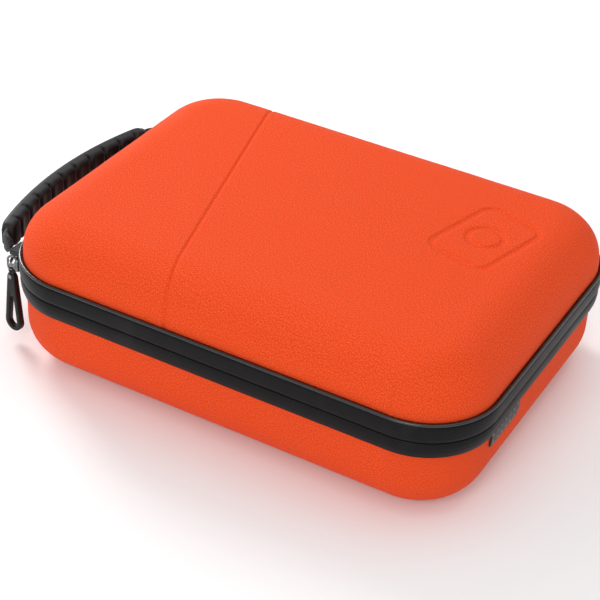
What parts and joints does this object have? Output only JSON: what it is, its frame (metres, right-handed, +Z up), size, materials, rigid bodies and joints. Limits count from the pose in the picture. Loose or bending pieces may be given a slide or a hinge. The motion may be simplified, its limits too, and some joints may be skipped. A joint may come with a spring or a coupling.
{
  "type": "action camera carry case",
  "caption": "Zip-around moulded foam carry case for action cameras: fabric-covered lid and base, end handle, zip sliders with rubber pulls, cut foam insert and a mesh lid pocket.",
  "frame": {"origin": "centre of the base's flat underside, on the surface that the case rests on", "axes": "+X along the long side, away from the handle; -Y is the front long side; +Z up"},
  "size_m": [0.2457, 0.1684, 0.0732],
  "materials": {
    "shell_fabric": "fine orange woven polyester bonded to moulded foam",
    "lining_knit": "black brushed knit",
    "zip_tape": "satin coated zip tape",
    "webbing": "black woven webbing",
    "coil": "nylon coil",
    "piping": "satin rubber piping",
    "tag": "woven black tag",
    "foam": "soft black foam",
    "mesh": "open nylon mesh",
    "rubber": "satin moulded rubber",
    "slider_metal": "gunmetal"
  },
  "bodies": {
    "base": {"base_shell": "shell_fabric", "base_lining": "lining_knit", "base_rim_binding": "webbing", "zip_tape_lower": "zip_tape", "zip_coil_lower": "coil", "spine_lower": "zip_tape", "zip_end_tab_left": "webbing", "zip_end_tab_right": "webbing", "side_tag": "tag", "floor_pad": "foam", "foam_insert": "foam"},
    "lid": {"lid_shell": "shell_fabric", "lid_lining": "lining_knit", "lid_rim_binding": "webbing", "lid_piping": "piping", "zip_tape_upper": "zip_tape", "zip_coil_upper": "coil", "spine_upper": "zip_tape", "mesh_pocket": "mesh", "pocket_hem": "webbing", "pocket_binding": "webbing", "handle_ear_front": "webbing", "handle_ear_back": "webbing"},
    "handle": {"handle_grip": "rubber", "handle_webbing": "webbing"},
    "front_slider": {"front_slider": "slider_metal"},
    "front_link": {"front_link": "slider_metal"},
    "front_pull": {"front_pull": "rubber", "front_rivet": "slider_metal"},
    "rear_slider": {"rear_slider": "slider_metal"},
    "rear_link": {"rear_link": "slider_metal"},
    "rear_pull": {"rear_pull": "rubber", "rear_rivet": "slider_metal"}
  },
  "joints": [
    {"name": "lid_hinge", "type": "hinge", "parent": "base", "child": "lid", "pos_m": [0, 0.0848, 0.042], "axis": [-1, 0, 0], "range_deg": [0, 180]},
    {"name": "handle_swing", "type": "hinge", "parent": "lid", "child": "handle", "pos_m": [-0.1151, -0.005, 0.048], "axis": [0, 1, 0], "range_deg": [-15, 60]},
    {"name": "front_slider_travel", "type": "hinge", "parent": "base", "child": "front_slider", "pos_m": [-0.0795, -0.051, 0.042], "axis": [0, 0, 1], "range_deg": [0, 66]},
    {"name": "rear_slider_travel", "type": "slide", "parent": "base", "child": "rear_slider", "axis": [0, 1, 0], "range_m": [0, 0.075]},
    {"name": "front_link_swing", "type": "hinge", "parent": "front_slider", "child": "front_link", "pos_m": [-0.11446, -0.06512, 0.042], "axis": [-0.3746, 0.9272, 0], "range_deg": [0, 45]},
    {"name": "rear_link_swing", "type": "hinge", "parent": "rear_slider", "child": "rear_link", "pos_m": [-0.1172, -0.04, 0.042], "axis": [0, 1, 0], "range_deg": [0, 45]},
    {"name": "front_pull_swing", "type": "hinge", "parent": "front_link", "child": "front_pull", "pos_m": [-0.11446, -0.06512, 0.0368], "axis": [-0.3746, 0.9272, 0], "range_deg": [-2, 35]},
    {"name": "rear_pull_swing", "type": "hinge", "parent": "rear_link", "child": "rear_pull", "pos_m": [-0.1172, -0.04, 0.0368], "axis": [0, 1, 0], "range_deg": [-4, 35]}
  ]
}
